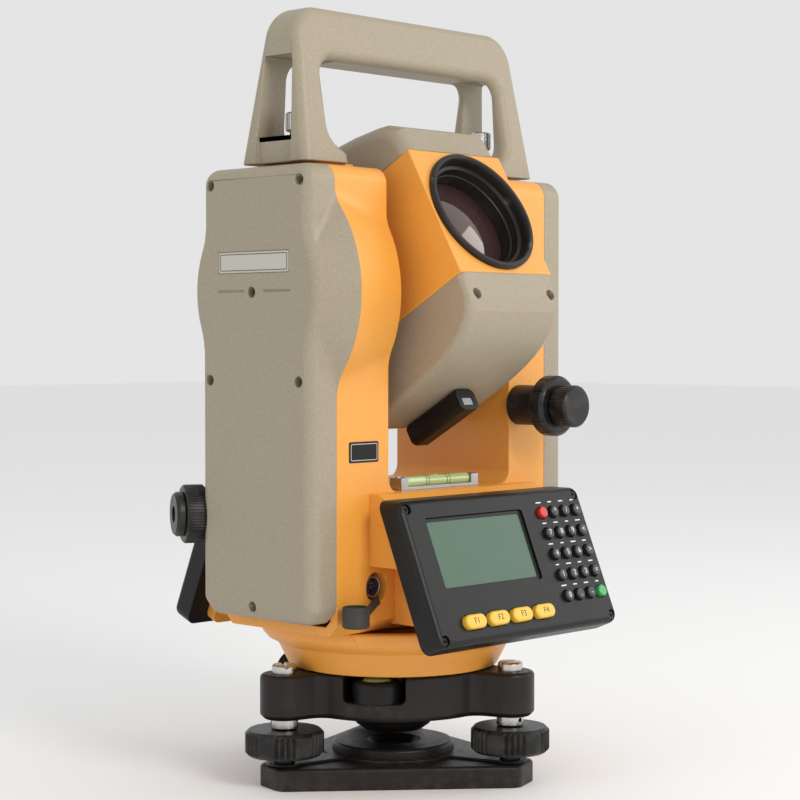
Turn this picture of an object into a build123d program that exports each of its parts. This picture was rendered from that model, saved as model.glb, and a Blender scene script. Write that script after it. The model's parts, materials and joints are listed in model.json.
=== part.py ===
"""Surveying total station: tribrach, alidade with two standards, telescope, panels and handle.

Millimetres. The origin is on the vertical axis at the base plate's underside. +Z is up, X is the
trunnion axis, and -Y is the side that the front panel and the objective face.
"""
from build123d import *
from math import asin, cos, degrees, radians, sin, sqrt
import os

os.makedirs("parts", exist_ok=True)

# ---------------------------------------------------------------- driving dimensions
RUNNING = 0.05                # radial clearance of a turning fit
GAP = 0.3                     # clearance between pieces that move past each other
WALL = 4.0

TRIBRACH_YAW = 48.0           # bearing of the first foot screw
FOOT_CIRCLE = 56.3
FOOT_ANGLES = [TRIBRACH_YAW + 120 * i for i in range(3)]
PLATE_TOP = 9.5
PLATE_SIDE = 39.5             # vertical axis to a long side of the base plate
PLATE_CORNER = 64.3           # vertical axis to a cut corner of the base plate
THREAD_R = 6.75               # minor radius of the 5/8 inch tripod thread
BOSS_TOP = 14.5
KNOB_R = 17.0
KNOB_BOTTOM = 13.9
KNOB_TOP = 25.0
BODY_BOTTOM = 29.6
BODY_TOP = 49.0
BODY_R = 45.0
EAR_R = 10.5
LEVEL_BEARING = 213.0
LEVEL_RADIUS = 36.5

HOUSING_BOTTOM = 49.3
HOUSING_TOP = 69.2
SPINDLE_R = 10.0

FRAME_BOTTOM = 70.0
FRAME_TOP = 263.5
LEFT_SEAM = -69.0
RIGHT_SEAM = 63.0
SLOT_HALF = 38.6              # inner faces of the two standards
SLOT_FLOOR = 128.0
STANDARD_HALF = 34.5          # half depth of a standard below the bulge
STANDARD_TOP_HALF = 33.5
SWELL_Z = 211.5               # height of the left standard's swelling
SWELL_R = 55.0
INNER_SWELL = 42.0            # half depth at the swelling: inner face, seam and outer face
SEAM_SWELL = 49.0
FACE_SWELL = 36.0
LOW_BLEND = 20.0
HIGH_BLEND = 15.0
LEFT_FACE = -83.0
RIGHT_FACE = 75.5
COVER_BOTTOM = 75.5
INNER_WALL = 5.0

TRUNNION_Z = 216.0
ELEVATION = 30.0              # rest angle of the telescope above the horizon
TUBE_HALF = 29.0              # half width of the telescope housing
AXLE_R = 8.0

HANDLE_BOTTOM = 265.5
HANDLE_TOP = 331.0
HANDLE_SCREW_X = 58.0

PANEL_TOP_Y = 56.0            # front panel: top edge of its face
PANEL_TOP_Z = 126.0
PANEL_TILT = 22.8
PANEL_LEFT = -55.5
PANEL_RIGHT = 60.5
PANEL_HEIGHT = 62.0
PANEL_THICK = 11.0
PANEL_BACKING = 5.0
BRACKET_HALF = 50.0
BRACKET_NECK = 35.0           # half width beside the data socket
BRACKET_STEP_Z = 98.0
F_KEYS_X = [-32.6, -18.0, -3.3, 11.3]
F_KEYS_V = 53.0
PAD_X = 30.4
PAD_PITCH = 7.6
PAD_V = 10.2
PAD_ROW = 9.43
KEY_R = 2.5
KEY_DEPTH = 4.0
POCKET_DEPTH = 6.0

PLUMMET_BEARING = 151.0
PLUMMET_Z = 117.0
PLUMMET_TUBE_R = 11.3
PLUMMET_HOLE_R = 11.6
CLAMP_X = 45.4
CLAMP_Z = 162.7
SIDE_CLAMP_Z = 104.0
SOCKET_X = -45.8
SOCKET_Z = 89.0

CORNER_SCREWS = [(-27.0, 256.5), (27.0, 256.5), (-26.5, 174.8), (27.6, 174.8), (1.5, 81)]
MIDDLE_SCREW = (1.5, 211.5)
MIDDLE_LENGTH = 8.0           # the middle screws end inside their covers
CASE_SCREWS = CORNER_SCREWS + [MIDDLE_SCREW]
POST_R = 4.2                  # posts that take the cover screws
SCREW_HEAD_R = 2.1
SCREW_SINK_R = 2.3
CASE_SINK = 6.0
PANEL_SINK = 2.5
HEAD_HEIGHT = 1.6


def save(part, name):
    """Label a finished piece and write its STEP file."""
    part.label = name
    export_step(part, f"parts/{name}.step")


def polar_point(radius, bearing, z=0.0):
    return (radius * cos(radians(bearing)), radius * sin(radians(bearing)), z)


def radial_plane(bearing, z):
    """Plane through the vertical axis at height z, looking outward along a bearing."""
    return Plane(origin=(0, 0, z), x_dir=(0, 0, 1), z_dir=polar_point(1, bearing))


def turned(profile, plane=Plane.XZ, axis=Axis.Z):
    """Solid of revolution of a closed (radius, height) outline about the vertical axis."""
    with BuildPart() as body:
        with BuildSketch(plane):
            with BuildLine():
                Polyline(*profile, close=True)
            make_face()
        revolve(axis=axis)
    return body.part


def ribbed(radius, height, ribs, depth, bevel):
    """Knob blank standing on the origin: ribs cut into its rim, both rims bevelled."""
    with BuildPart() as knob:
        with BuildSketch():
            Circle(radius)
            with PolarLocations(radius, ribs):
                RectangleRounded(2 * depth, 1.1 * depth, 0.25 * depth, mode=Mode.SUBTRACT)
        extrude(amount=height)
        blank = turned([(0, 0), (radius - bevel, 0), (radius, bevel), (radius, height - bevel),
                        (radius - bevel, height), (0, height)])
        add(blank, mode=Mode.INTERSECT)
    return knob.part


# ---------------------------------------------------------------- base plate and tribrach
with BuildPart() as base_plate:
    with BuildSketch():
        RegularPolygon(2 * PLATE_SIDE, 3, rotation=TRIBRACH_YAW)
        RegularPolygon(2 * PLATE_CORNER, 3, rotation=TRIBRACH_YAW + 180, mode=Mode.INTERSECT)
    extrude(amount=PLATE_TOP)
    fillet(base_plate.edges().filter_by(Axis.Z), 5)
    chamfer(base_plate.edges().group_by(Axis.Z)[-1], 1.0)
    with BuildSketch(Plane.XY.offset(PLATE_TOP)):
        Circle(26.8)
    extrude(amount=BOSS_TOP - PLATE_TOP)
    chamfer(base_plate.edges().group_by(Axis.Z)[-1], 1.0)
    with BuildSketch():
        Circle(THREAD_R)
    extrude(amount=BOSS_TOP, mode=Mode.SUBTRACT)
    with Locations((0, 0, BOSS_TOP)):
        Cone(THREAD_R + 3, 12, 3, align=(Align.CENTER, Align.CENTER, Align.MAX), mode=Mode.SUBTRACT)
    with BuildSketch(Plane.XY.offset(5.5)):
        with PolarLocations(FOOT_CIRCLE, 3, start_angle=TRIBRACH_YAW):
            Circle(4.6)
    extrude(amount=PLATE_TOP, mode=Mode.SUBTRACT)
save(base_plate.part, "base_plate")

with BuildPart() as spring_plate:
    with BuildSketch(Plane.XY.offset(PLATE_TOP)):
        Circle(31)
        with PolarLocations(FOOT_CIRCLE / 2, 3, start_angle=TRIBRACH_YAW):
            Rectangle(FOOT_CIRCLE, 12)
        with PolarLocations(FOOT_CIRCLE, 3, start_angle=TRIBRACH_YAW):
            Circle(7)
        Circle(27, mode=Mode.SUBTRACT)
        with PolarLocations(FOOT_CIRCLE, 3, start_angle=TRIBRACH_YAW):
            Circle(4.6, mode=Mode.SUBTRACT)
    extrude(amount=1.0)
save(spring_plate.part, "spring_plate")

with BuildPart() as level_pocket:
    with BuildSketch(Plane.XY.offset(37.5)):
        with Locations(polar_point(LEVEL_RADIUS + 4, LEVEL_BEARING)):
            SlotOverall(46, 27, rotation=LEVEL_BEARING)
    extrude(amount=BODY_TOP)
    fillet(level_pocket.edges().group_by(Axis.Z)[0], 2.5)

with BuildPart() as tribrach_body:
    with BuildSketch(Plane.XY.offset(BODY_BOTTOM)):
        Circle(BODY_R)
        with PolarLocations(FOOT_CIRCLE, 3, start_angle=TRIBRACH_YAW):
            Circle(EAR_R)
        with PolarLocations(FOOT_CIRCLE - 12, 3, start_angle=TRIBRACH_YAW):
            Rectangle(24, 2 * EAR_R)
    extrude(amount=BODY_TOP - BODY_BOTTOM)
    concave = tribrach_body.edges().filter_by(Axis.Z).filter_by(
        lambda e: 40 < Vector(e.center().X, e.center().Y).length < 50)
    fillet(concave, 6)
    fillet(tribrach_body.edges().group_by(Axis.Z)[-1], 2.0)
    chamfer(tribrach_body.edges().group_by(Axis.Z)[0], 2.0)
    add(turned([(0, 19.5), (13, 19.5), (16.5, 22), (18.5, 25), (18.5, 31), (0, 31)]))
    with BuildSketch(Plane.XY.offset(BODY_BOTTOM + 3)):
        Circle(21.2)
    extrude(amount=BODY_TOP, mode=Mode.SUBTRACT)
    with BuildSketch(Plane.XY.offset(19)):
        Circle(9)
    extrude(amount=BODY_TOP, mode=Mode.SUBTRACT)
    with BuildSketch(Plane.XY.offset(BODY_BOTTOM - 1)):
        with PolarLocations(FOOT_CIRCLE, 3, start_angle=TRIBRACH_YAW):
            Circle(4.9)
    extrude(amount=BODY_TOP, mode=Mode.SUBTRACT)
    add(level_pocket.part, mode=Mode.SUBTRACT)
    with BuildSketch(radial_plane(TRIBRACH_YAW + 60, 40)):
        Circle(4.05)
    extrude(amount=60, mode=Mode.SUBTRACT)
save(tribrach_body.part, "tribrach_body")

NUT_TOP = 52.9
with BuildPart() as nut:
    add(turned([(4.1, 25.3), (5.5, 25.3), (5.9, 25.7), (5.9, BODY_BOTTOM), (4.85, BODY_BOTTOM),
                (4.85, BODY_TOP), (5.4, BODY_TOP), (5.4, NUT_TOP - 0.8), (4.6, NUT_TOP), (0, NUT_TOP),
                (0, 48.4), (4.1, 48.4)]))
    with BuildSketch(Plane.XY.offset(NUT_TOP)):
        Rectangle(14, 1.6)
    extrude(amount=-1.4, mode=Mode.SUBTRACT)
    with BuildSketch(Plane.XZ.offset(-8)):
        with Locations((0, 28)):
            Circle(1.0)
    extrude(amount=16, mode=Mode.SUBTRACT)
with BuildPart() as foot_screw_nuts:
    for bearing in FOOT_ANGLES:
        with Locations(Location(polar_point(FOOT_CIRCLE, bearing), (0, 0, bearing + 70))):
            add(nut.part)
save(foot_screw_nuts.part, "foot_screw_nuts")

NOTCHES_PER_SECTOR = 4
NOTCH_PITCH = 9.0
with BuildPart() as foot_knob:
    with BuildSketch(Plane.XY.offset(KNOB_BOTTOM)):
        Circle(KNOB_R)
        for sector in range(6):
            for notch in range(NOTCHES_PER_SECTOR):
                bearing = 60 * sector + NOTCH_PITCH * (notch - 1.5)
                with PolarLocations(KNOB_R + 0.6, 1, start_angle=bearing):
                    Rectangle(2.4, 2.4, rotation=45, mode=Mode.SUBTRACT)
    extrude(amount=KNOB_TOP - KNOB_BOTTOM)
    add(turned([(0, KNOB_BOTTOM), (KNOB_R - 1.6, KNOB_BOTTOM), (KNOB_R, KNOB_BOTTOM + 1.6),
                (KNOB_R, KNOB_TOP - 1.6), (KNOB_R - 1.6, KNOB_TOP), (0, KNOB_TOP)]),
        mode=Mode.INTERSECT)
    add(turned([(0, 6.5), (2.5, 6.0), (4.2, 8.0), (4.2, KNOB_BOTTOM), (7.5, KNOB_BOTTOM),
                (7.5, KNOB_TOP), (4.0, KNOB_TOP), (4.0, 47.0), (3.2, 48.0), (0, 48.0)]))
for index, bearing in enumerate(FOOT_ANGLES, start=1):
    with BuildPart() as foot_screw:
        with Locations(Location(polar_point(FOOT_CIRCLE, bearing), (0, 0, bearing))):
            add(foot_knob.part)
    save(foot_screw.part, f"foot_screw_{index}")

level_spot = polar_point(LEVEL_RADIUS, LEVEL_BEARING)
with BuildPart() as circular_level_case:
    add(turned([(0, 37.5), (10.4, 37.5), (10.6, 44.5), (10.0, 46.0), (8.6, 46.8), (6.6, 46.8),
                (6.6, 42), (0, 42)]))
save(circular_level_case.part.moved(Location(level_spot)), "circular_level_case")

with BuildPart() as circular_level_vial:
    add(turned([(0, 42.0), (6.5, 42.0), (6.5, 46.6), (5.0, 47.6), (0, 48.2)]))
save(circular_level_vial.part.moved(Location(level_spot)), "circular_level_vial")

lock_plane = radial_plane(TRIBRACH_YAW + 60, 40)
with BuildPart() as tribrach_lock_knob:
    add(ribbed(9, 10, 14, 1.2, 1.0).moved(lock_plane.offset(BODY_R + GAP).location))
    with BuildSketch(lock_plane.offset(24)):
        Circle(4.0)
    extrude(amount=BODY_R - 23)
save(tribrach_lock_knob.part, "tribrach_lock_knob")

with BuildPart() as lower_housing:
    add(turned([(14.05, 36), (21.1, 36), (21.1, HOUSING_BOTTOM), (46.0, HOUSING_BOTTOM),
                (46.5, HOUSING_BOTTOM + 0.5), (51.4, 59.6), (55.6, 61.7), (57.8, 64.2), (58.4, 66.0),
                (58.4, HOUSING_TOP - 0.6), (57.8, HOUSING_TOP), (53, HOUSING_TOP), (53, 65), (40, 56),
                (20, 56), (20, 66), (14.05, 66)]))
save(lower_housing.part, "lower_housing")

with BuildPart() as axis_bush:
    add(turned([(SPINDLE_R + RUNNING, 37), (14.0, 37), (14.0, 66), (17.5, 66), (17.5, 68.5),
                (SPINDLE_R + RUNNING, 68.5)]))
save(axis_bush.part, "axis_bush")

with BuildPart() as axis_spindle:
    add(turned([(5, 38), (SPINDLE_R, 38), (SPINDLE_R, 69.0), (24, 69.0), (24, FRAME_BOTTOM),
                (16, FRAME_BOTTOM), (16, 76.0), (5, 76.0)]))
save(axis_spindle.part, "axis_spindle")


# ---------------------------------------------------------------- alidade frame and side covers
def straight_outline(bottom, corner):
    """Side view of the right standard as a sketch: straight flanks and cut lower corners."""
    with BuildSketch() as outline:
        with BuildLine():
            Polyline((0, bottom), (corner - STANDARD_HALF, bottom), (-STANDARD_HALF, bottom + corner),
                     (-STANDARD_HALF, FRAME_TOP), (0, FRAME_TOP))
            mirror(about=Plane.YZ)
        make_face()
        fillet(outline.vertices().group_by(Axis.Y)[-1], 8)
    return outline.sketch


def swollen_outline(bottom, corner, swell):
    """Side view of the left standard: as the right one, but swelling round the trunnion axis."""
    centre_y = SWELL_R - swell
    low_reach = SWELL_R + LOW_BLEND
    high_reach = SWELL_R + HIGH_BLEND
    low_side = centre_y + STANDARD_HALF + LOW_BLEND
    high_side = centre_y + STANDARD_TOP_HALF + HIGH_BLEND
    low_rise = sqrt(low_reach**2 - low_side**2)
    high_rise = sqrt(high_reach**2 - high_side**2)
    low_touch = (centre_y - SWELL_R / low_reach * low_side, SWELL_Z - SWELL_R / low_reach * low_rise)
    high_touch = (centre_y - SWELL_R / high_reach * high_side,
                  SWELL_Z + SWELL_R / high_reach * high_rise)
    with BuildSketch() as outline:
        with BuildLine():
            Line((0, bottom), (corner - STANDARD_HALF, bottom))
            Line((corner - STANDARD_HALF, bottom), (-STANDARD_HALF, bottom + corner))
            Line((-STANDARD_HALF, bottom + corner), (-STANDARD_HALF, SWELL_Z - low_rise))
            RadiusArc((-STANDARD_HALF, SWELL_Z - low_rise), low_touch, -LOW_BLEND)
            ThreePointArc(low_touch, (-swell, SWELL_Z), high_touch)
            RadiusArc(high_touch, (-STANDARD_TOP_HALF, SWELL_Z + high_rise), -HIGH_BLEND)
            Line((-STANDARD_TOP_HALF, SWELL_Z + high_rise), (-STANDARD_TOP_HALF, FRAME_TOP))
            Line((-STANDARD_TOP_HALF, FRAME_TOP), (0, FRAME_TOP))
            mirror(about=Plane.YZ)
        make_face()
        fillet(outline.vertices().group_by(Axis.Y)[-1], 7)
    return outline.sketch


def swelling_room(start, end, narrow, wide):
    """Conical hollow inside the left standard's swelling, along X from start to end."""
    length = abs(end - start)
    plane = Plane(origin=(start, 0, SWELL_Z), z_dir=(-1 if end < start else 1, 0, 0))
    return turned([(0, 0), (narrow, 0), (wide, length), (0, length)]).moved(plane.location)


FRAME_CORNER = 5.0
COVER_CORNER = 6.0
plummet_plane = radial_plane(PLUMMET_BEARING, PLUMMET_Z)

# the panels' faces: local x runs along the key rows, local y up the slope, z out of the face
front_face = Plane(origin=(0, -PANEL_TOP_Y, PANEL_TOP_Z), x_dir=(1, 0, 0),
                   z_dir=(0, -cos(radians(PANEL_TILT)), sin(radians(PANEL_TILT))))
rear_face = Plane(origin=(0, PANEL_TOP_Y, PANEL_TOP_Z), x_dir=(-1, 0, 0),
                  z_dir=(0, cos(radians(PANEL_TILT)), sin(radians(PANEL_TILT))))


def panel_bracket():
    """Orange bracket behind the front panel, from the frame's face to the back of the case."""
    lean_y = sin(radians(PANEL_TILT))
    lean_z = cos(radians(PANEL_TILT))
    back_y = -PANEL_TOP_Y + PANEL_THICK * lean_z
    back_z = PANEL_TOP_Z - PANEL_THICK * lean_y
    drop = PANEL_HEIGHT - 4
    low_y = back_y - drop * lean_y
    low_z = back_z - drop * lean_z
    step_y = back_y - (back_z - BRACKET_STEP_Z) * lean_y / lean_z
    with BuildPart() as bracket:
        with BuildSketch(Plane.YZ):
            with BuildLine():
                Polyline((-STANDARD_HALF, SLOT_FLOOR), (-40, SLOT_FLOOR), (-44, PANEL_TOP_Z - 0.5),
                         (back_y, back_z), (low_y, low_z), (low_y + 6, 72.5),
                         (FRAME_CORNER - STANDARD_HALF - 2.5, 72.5),
                         (-STANDARD_HALF, FRAME_BOTTOM + FRAME_CORNER), close=True)
            make_face()
        extrude(amount=BRACKET_NECK, both=True)
        with BuildSketch(Plane.YZ):
            with BuildLine():
                Polyline((-STANDARD_HALF, SLOT_FLOOR), (-40, SLOT_FLOOR), (-44, PANEL_TOP_Z - 0.5),
                         (back_y, back_z), (step_y, BRACKET_STEP_Z),
                         (-STANDARD_HALF, BRACKET_STEP_Z), close=True)
            make_face()
        extrude(amount=BRACKET_HALF, both=True)
        with BuildSketch(front_face.offset(-PANEL_THICK)):
            with Locations((0, -PANEL_HEIGHT / 2)):
                RectangleRounded(2 * BRACKET_HALF, drop, 4)
        extrude(amount=-PANEL_BACKING)
    return bracket.part


front_bracket = panel_bracket()
with BuildPart() as panel_brackets:
    add(front_bracket)
    add(front_bracket.mirror(Plane.XZ))
    with BuildSketch(plummet_plane.offset(35)):
        Circle(PLUMMET_HOLE_R)
    extrude(amount=60, mode=Mode.SUBTRACT)
save(panel_brackets.part, "panel_brackets")

with BuildPart() as alidade_frame:
    with BuildSketch(Plane.YZ.offset(-SLOT_HALF)):
        add(straight_outline(FRAME_BOTTOM, FRAME_CORNER))
    extrude(amount=RIGHT_SEAM + SLOT_HALF)
    with BuildSketch(Plane.YZ.offset(-SLOT_HALF)):
        add(swollen_outline(FRAME_BOTTOM, FRAME_CORNER, INNER_SWELL))
    with BuildSketch(Plane.YZ.offset(LEFT_SEAM)):
        add(swollen_outline(FRAME_BOTTOM, FRAME_CORNER, SEAM_SWELL))
    loft(ruled=True)
    with BuildSketch(Plane.XZ.offset(-60)):
        with Locations((0, (SLOT_FLOOR + 300) / 2)):
            RectangleRounded(2 * SLOT_HALF, 300 - SLOT_FLOOR, 6)
    extrude(amount=120, mode=Mode.SUBTRACT)
    add(swelling_room(-SLOT_HALF - INNER_WALL, LEFT_SEAM, INNER_SWELL - WALL, SEAM_SWELL - WALL),
        mode=Mode.SUBTRACT)
    for seam, inner in ((LEFT_SEAM, -SLOT_HALF - INNER_WALL), (RIGHT_SEAM, SLOT_HALF + INNER_WALL)):
        with BuildSketch(Plane.YZ.offset(inner)):
            offset(straight_outline(FRAME_BOTTOM, FRAME_CORNER), amount=-WALL,
                   kind=Kind.INTERSECTION)
        extrude(amount=seam - inner, mode=Mode.SUBTRACT)
    with BuildSketch(Plane.YZ.offset(-SLOT_HALF - INNER_WALL - 1)):
        with Locations((0, 101.5)):
            RectangleRounded(54, 42, 4)
    extrude(amount=2 * (SLOT_HALF + INNER_WALL + 1), mode=Mode.SUBTRACT)
    for seam, inner in ((LEFT_SEAM, -SLOT_HALF - 2), (RIGHT_SEAM, SLOT_HALF + 2)):
        with BuildSketch(Plane.YZ.offset(inner)):
            with Locations(*CORNER_SCREWS):
                Circle(POST_R)
        extrude(amount=seam - inner)
    for side in (-1, 1):
        with BuildSketch(Plane.XY.offset(FRAME_TOP)):
            with Locations((side * (SLOT_HALF + 12), 0)):
                RectangleRounded(21, 34, 3)
        extrude(amount=HANDLE_BOTTOM - FRAME_TOP)
        with BuildSketch(Plane.XY.offset(FRAME_TOP - 14)):
            with Locations((side * (HANDLE_SCREW_X - 1), 0)):
                Rectangle(10, 10)
        extrude(amount=12)
        with BuildSketch(Plane.XY.offset(FRAME_TOP - 11)):
            with Locations((side * HANDLE_SCREW_X, 0)):
                Circle(2.5)
        extrude(amount=20, mode=Mode.SUBTRACT)
    # trunnion bores, spindle seat, plummet, socket, clamp and screw holes
    with BuildSketch(Plane.YZ.offset(-SLOT_HALF - INNER_WALL - 1)):
        with Locations((0, TRUNNION_Z)):
            Circle(11.0)
    extrude(amount=2 * (SLOT_HALF + INNER_WALL + 1), mode=Mode.SUBTRACT)
    with BuildSketch(Plane.XY.offset(FRAME_BOTTOM - 1)):
        Circle(16.0)
    extrude(amount=20, mode=Mode.SUBTRACT)
    with BuildSketch(plummet_plane.offset(35)):
        Circle(PLUMMET_HOLE_R)
    extrude(amount=60, mode=Mode.SUBTRACT)
    with BuildSketch(Plane.XZ.offset(20)):
        with Locations((SOCKET_X, SOCKET_Z)):
            Circle(6.25)
        with Locations((CLAMP_X + 2.5, CLAMP_Z)):
            Circle(5.0)
    extrude(amount=30, mode=Mode.SUBTRACT)
    for seam, depth in ((LEFT_SEAM, 12), (RIGHT_SEAM, -12)):
        with BuildSketch(Plane.YZ.offset(seam)):
            with Locations(*CORNER_SCREWS):
                Circle(1.25)
        extrude(amount=depth, mode=Mode.SUBTRACT)
save(alidade_frame.part, "alidade_frame")


def side_cover(blank, seam, face, outward):
    """Hollows a cover's blank and gives it the screw posts and their sunk holes."""
    depth = abs(face - seam)
    with BuildPart() as cover:
        add(blank)
        with BuildSketch(Plane.YZ.offset(seam)):
            offset(straight_outline(COVER_BOTTOM, COVER_CORNER), amount=-WALL, kind=Kind.INTERSECTION)
        extrude(amount=outward * (depth - WALL), mode=Mode.SUBTRACT)
        if outward < 0:
            add(swelling_room(face + WALL, seam, FACE_SWELL - WALL, SEAM_SWELL - WALL),
                mode=Mode.SUBTRACT)
        with BuildSketch(Plane.YZ.offset(seam)):
            with Locations(*CASE_SCREWS):
                Circle(POST_R)
        extrude(amount=outward * (depth - 3))
        with BuildSketch(Plane.YZ.offset(seam - outward)):
            with Locations(*CASE_SCREWS):
                Circle(1.25)
        extrude(amount=outward * 30, mode=Mode.SUBTRACT)
        with BuildSketch(Plane.YZ.offset(face - outward * CASE_SINK)):
            with Locations(*CASE_SCREWS):
                Circle(SCREW_SINK_R)
        extrude(amount=outward * 10, mode=Mode.SUBTRACT)
    return cover.part


with BuildPart() as left_blank:
    with BuildSketch(Plane.YZ.offset(LEFT_SEAM)):
        add(swollen_outline(COVER_BOTTOM, COVER_CORNER, SEAM_SWELL))
    with BuildSketch(Plane.YZ.offset(LEFT_FACE)):
        add(swollen_outline(COVER_BOTTOM, COVER_CORNER, FACE_SWELL))
    loft(ruled=True)
    low = left_blank.edges().filter_by(lambda e: e.center().Z < 90 and abs(e.center().Y) > 20
                                       and LEFT_FACE + 1 < e.center().X < LEFT_SEAM - 1)
    fillet(low, 5)
    fillet(left_blank.faces().sort_by(Axis.X)[0].edges(), 6)

with BuildPart() as right_blank:
    with BuildSketch(Plane.YZ.offset(RIGHT_SEAM)):
        add(straight_outline(COVER_BOTTOM, COVER_CORNER))
    extrude(amount=RIGHT_FACE - RIGHT_SEAM)
    fillet(right_blank.edges().filter_by(Axis.X).filter_by(lambda e: e.center().Z < 90), 5)
    fillet(right_blank.faces().sort_by(Axis.X)[-1].edges(), 3.5)

with BuildPart() as left_cover:
    add(side_cover(left_blank.part, LEFT_SEAM, LEFT_FACE, -1))
    with BuildSketch(plummet_plane.offset(30)):
        Circle(14.0)
    extrude(amount=90, mode=Mode.SUBTRACT)
    with BuildSketch(Plane.YZ.offset(LEFT_FACE + 0.6)):
        with Locations((0.5, 223.9)):
            Rectangle(43, 9.2)
        with Locations((-14, 212), (14, 212)):
            Rectangle(16, 0.9)
    extrude(amount=-2, mode=Mode.SUBTRACT)
save(left_cover.part, "left_cover")

BATTERY_Y = 22.5
BATTERY_LOW = 131.0
BATTERY_HIGH = 205.0
BATTERY_FLOOR = 66.5
battery_mid = (BATTERY_LOW + BATTERY_HIGH) / 2
battery_tall = BATTERY_HIGH - BATTERY_LOW
with BuildPart() as right_cover:
    add(side_cover(right_blank.part, RIGHT_SEAM, RIGHT_FACE, 1))
    with BuildSketch(Plane.YZ.offset(RIGHT_SEAM + 0.5)):
        with Locations((0, battery_mid)):
            RectangleRounded(2 * BATTERY_Y + 3, battery_tall + 4, 4)
    extrude(amount=RIGHT_FACE - RIGHT_SEAM - 1)
    with BuildSketch(Plane.YZ.offset(BATTERY_FLOOR)):
        with Locations((0, battery_mid)):
            RectangleRounded(2 * (BATTERY_Y + GAP), battery_tall + 2 * GAP, 3)
    extrude(amount=20, mode=Mode.SUBTRACT)
    with BuildSketch(Plane.YZ.offset(RIGHT_SEAM - 1)):
        with Locations((0, SIDE_CLAMP_Z)):
            Circle(9.0)
    extrude(amount=30, mode=Mode.SUBTRACT)
save(right_cover.part, "right_cover")

with BuildPart() as battery_pack:
    with BuildSketch(Plane.YZ.offset(BATTERY_FLOOR + GAP)):
        with Locations((0, battery_mid)):
            RectangleRounded(2 * BATTERY_Y, battery_tall, 3)
    extrude(amount=RIGHT_FACE - BATTERY_FLOOR - GAP)
    fillet(battery_pack.faces().sort_by(Axis.X)[-1].edges(), 1.0)
    with BuildSketch(Plane.YZ.offset(RIGHT_FACE - 1.5)):
        with Locations((0, BATTERY_HIGH - 10)):
            RectangleRounded(24, 9, 2)
    extrude(amount=5, mode=Mode.SUBTRACT)
    with BuildSketch(Plane.YZ.offset(RIGHT_FACE - 1.5)):
        with GridLocations(1, 2.4, 1, 3):
            with Locations((0, BATTERY_HIGH - 10)):
                Rectangle(18, 1)
    extrude(amount=1.2)
save(battery_pack.part, "battery_pack")


def screw(length):
    """Pan-head screw with a cross recess, head on +Z, head top at the origin."""
    with BuildPart() as body:
        add(turned([(0, -length), (1.2, -length), (1.2, -HEAD_HEIGHT), (SCREW_HEAD_R, -HEAD_HEIGHT),
                    (SCREW_HEAD_R, -0.5), (SCREW_HEAD_R - 0.5, 0), (0, 0)]))
        with BuildSketch():
            Rectangle(2.4, 0.6)
            Rectangle(0.6, 2.4)
        extrude(amount=-0.7, mode=Mode.SUBTRACT)
    return body.part


PANEL_SCREWS = [(x, v) for x in (PANEL_LEFT + 4, PANEL_RIGHT - 4) for v in (-3.0, -58.9)]
with BuildPart() as case_screws:
    for y, z in CASE_SCREWS:
        for face, outward in ((LEFT_FACE, -1), (RIGHT_FACE, 1)):
            head = face - outward * (CASE_SINK - HEAD_HEIGHT)
            spot = Plane(origin=(head, y, z), z_dir=(outward, 0, 0))
            add(screw(MIDDLE_LENGTH if (y, z) == MIDDLE_SCREW else 15).moved(spot.location))
    for panel in (front_face, rear_face):
        for x, v in PANEL_SCREWS:
            add(screw(8).moved(panel * Location((x, v, HEAD_HEIGHT - PANEL_SINK))))
save(case_screws.part, "case_screws")


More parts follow.
